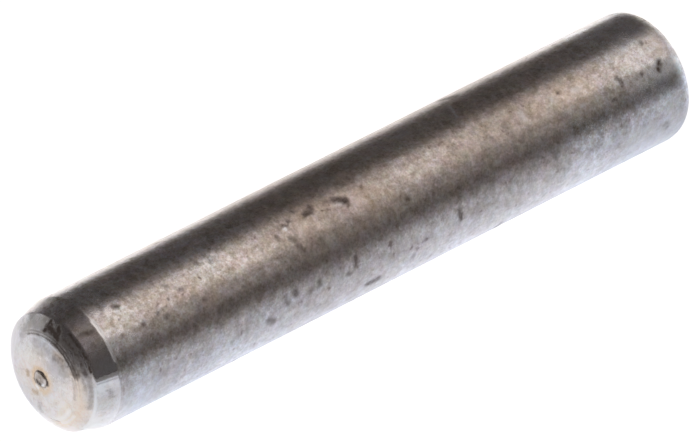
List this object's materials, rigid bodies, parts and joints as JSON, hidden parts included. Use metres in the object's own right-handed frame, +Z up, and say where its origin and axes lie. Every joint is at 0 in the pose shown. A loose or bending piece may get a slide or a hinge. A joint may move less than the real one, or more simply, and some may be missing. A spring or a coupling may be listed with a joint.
{
  "type": "dowel pin",
  "caption": "Parallel dowel pin of ground steel, with a chamfered lead end that has a turned shoulder and a small parting nib, and a crowned far end.",
  "frame": {"origin": "middle of the pin's length, on its axis", "axes": "+X along the pin's axis towards the crowned end, so the chamfered lead end points to -X; the pin lies level and +Z is up"},
  "size_m": [0.03, 0.005, 0.005],
  "materials": {
    "ground_steel": "ground satin steel, mottled with light tarnish, small pits and scratches, and a little rust round the nib"
  },
  "bodies": {
    "root": {"dowel_pin": "ground_steel"}
  },
  "joints": []
}
